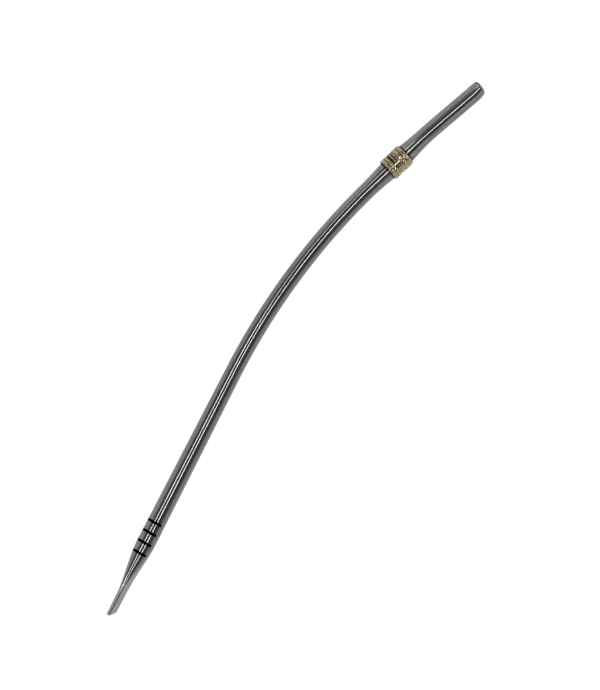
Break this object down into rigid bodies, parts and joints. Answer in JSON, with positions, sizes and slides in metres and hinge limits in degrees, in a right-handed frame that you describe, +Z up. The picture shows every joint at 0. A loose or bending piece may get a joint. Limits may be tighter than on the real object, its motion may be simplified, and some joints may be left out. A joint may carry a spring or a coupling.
{
  "type": "mate straw",
  "caption": "Bent metal drinking straw for mate: round steel stem pressed to a flat bill, saw-cut strainer above it, banded brass ring over the joint and a straight mouthpiece.",
  "frame": {"origin": "middle of the outline seen from above, on the surface that the straw lies on", "axes": "+X along the line from the tip of the bill to the ring, towards the mouth; +Z up; the belly of the bend towards +Y"},
  "size_m": [0.2268, 0.0271, 0.0098],
  "materials": {
    "steel": "polished stainless steel with fine lengthwise scratches",
    "brass": "worn brass, dark in the grooves"
  },
  "bodies": {
    "root": {"stem_tube": "steel", "mouthpiece_tube": "steel", "joint_spigot": "steel", "ring_sleeve": "brass", "lower_rim": "brass", "lower_band": "brass", "lower_wire": "brass", "upper_wire": "brass", "upper_band": "brass", "upper_rim": "brass"}
  },
  "joints": []
}
